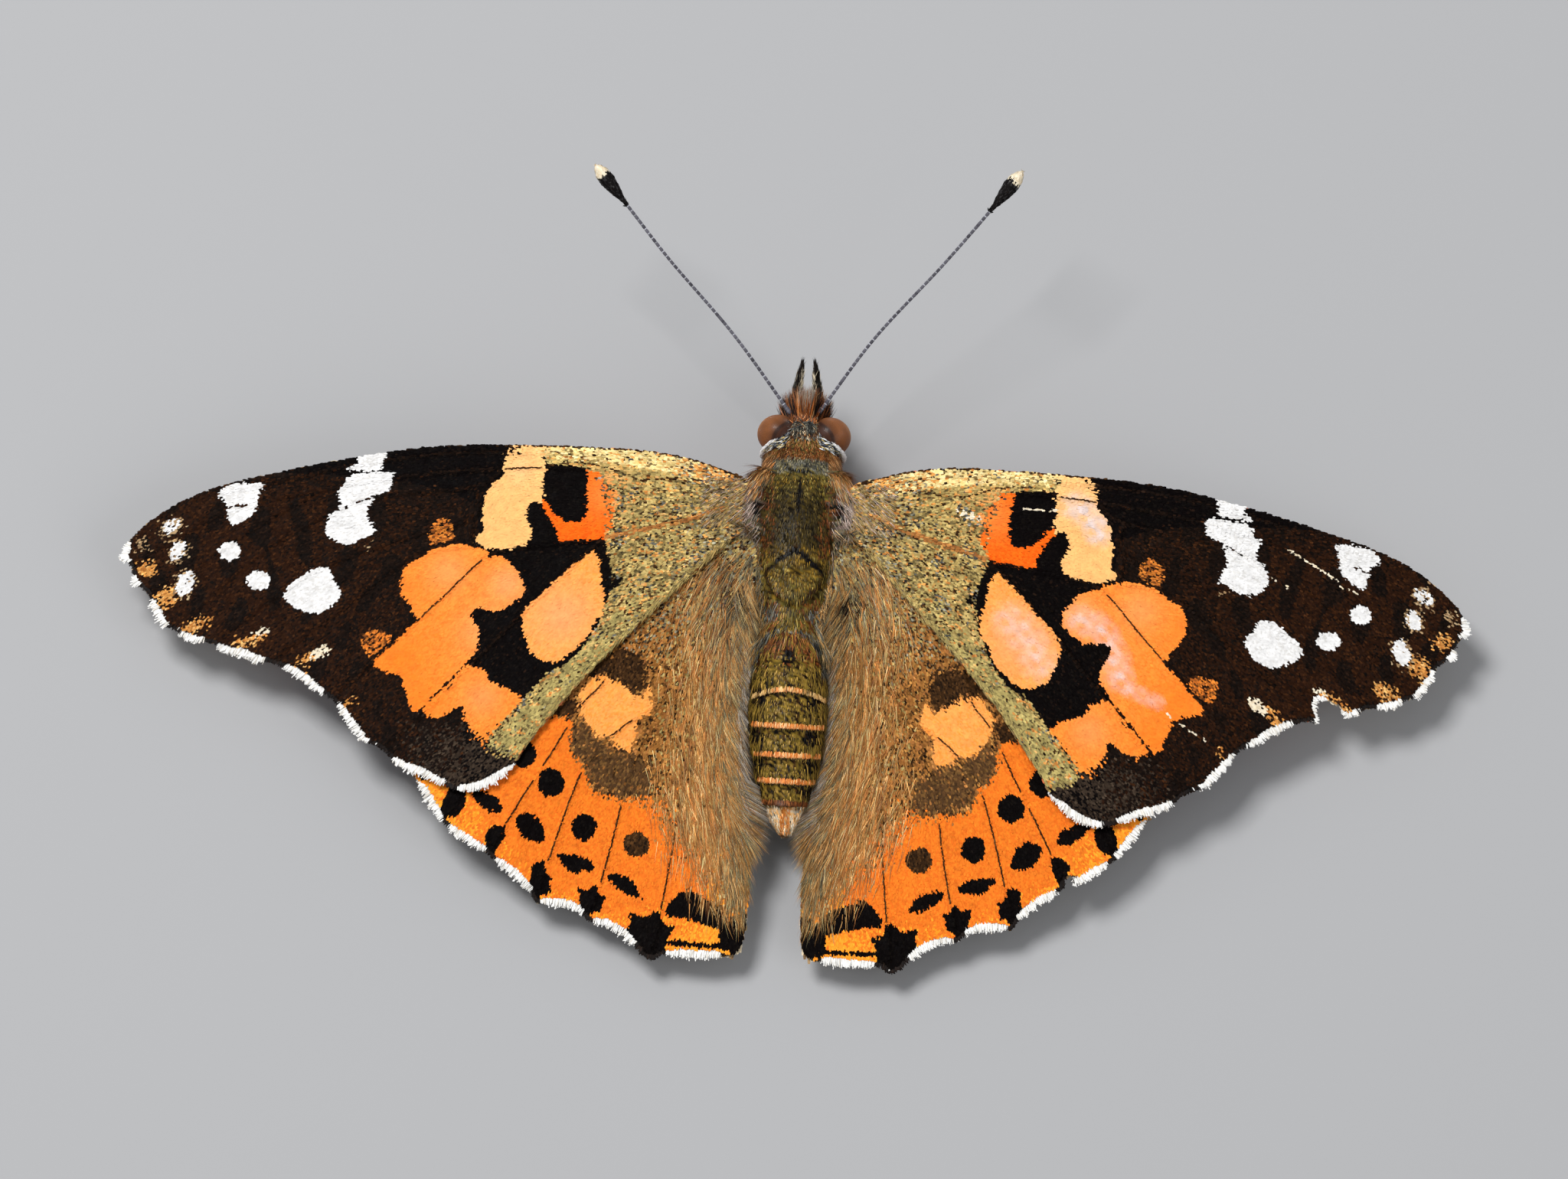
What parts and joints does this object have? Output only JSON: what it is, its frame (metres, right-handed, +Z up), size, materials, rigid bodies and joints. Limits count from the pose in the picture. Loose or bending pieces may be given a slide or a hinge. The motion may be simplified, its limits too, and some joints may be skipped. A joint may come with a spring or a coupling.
{
  "type": "painted lady butterfly",
  "caption": "Still, life-size butterfly basking with its wings spread flat, standing on its walking legs.",
  "frame": {"origin": "on the floor under the middle of the bounding box", "axes": "+X towards the animal's right wing tip, +Y towards its head, +Z up"},
  "size_m": [0.0634, 0.0378, 0.0095],
  "materials": {
    "head_hair": "short soft hair, reddish brown with grey",
    "eye": "faceted, satin, brown with darker bands",
    "palp": "bristled, black above and pale below",
    "proboscis": "smooth horny tube",
    "antenna": "scaled, black ringed with white, cream tips",
    "thorax_hair": "dense olive hair, reddish at the sides",
    "abdomen_scales": "scales, olive brown speckled black with orange rings",
    "forewing_scales": "matt overlapping scales, orange, black and white",
    "hindwing_scales": "matt overlapping scales and long brown hair, orange and black",
    "leg": "scaled, buff with darker feet"
  },
  "bodies": {
    "root": {"head": "head_hair", "eye_left": "eye", "eye_right": "eye", "palp_left": "palp", "palp_right": "palp", "proboscis": "proboscis", "antenna_left": "antenna", "antenna_right": "antenna", "thorax": "thorax_hair", "abdomen": "abdomen_scales", "forewing_left": "forewing_scales", "forewing_right": "forewing_scales", "hindwing_left": "hindwing_scales", "hindwing_right": "hindwing_scales", "foreleg_left": "leg", "foreleg_right": "leg", "midleg_left": "leg", "midleg_right": "leg", "hindleg_left": "leg", "hindleg_right": "leg"}
  },
  "joints": []
}
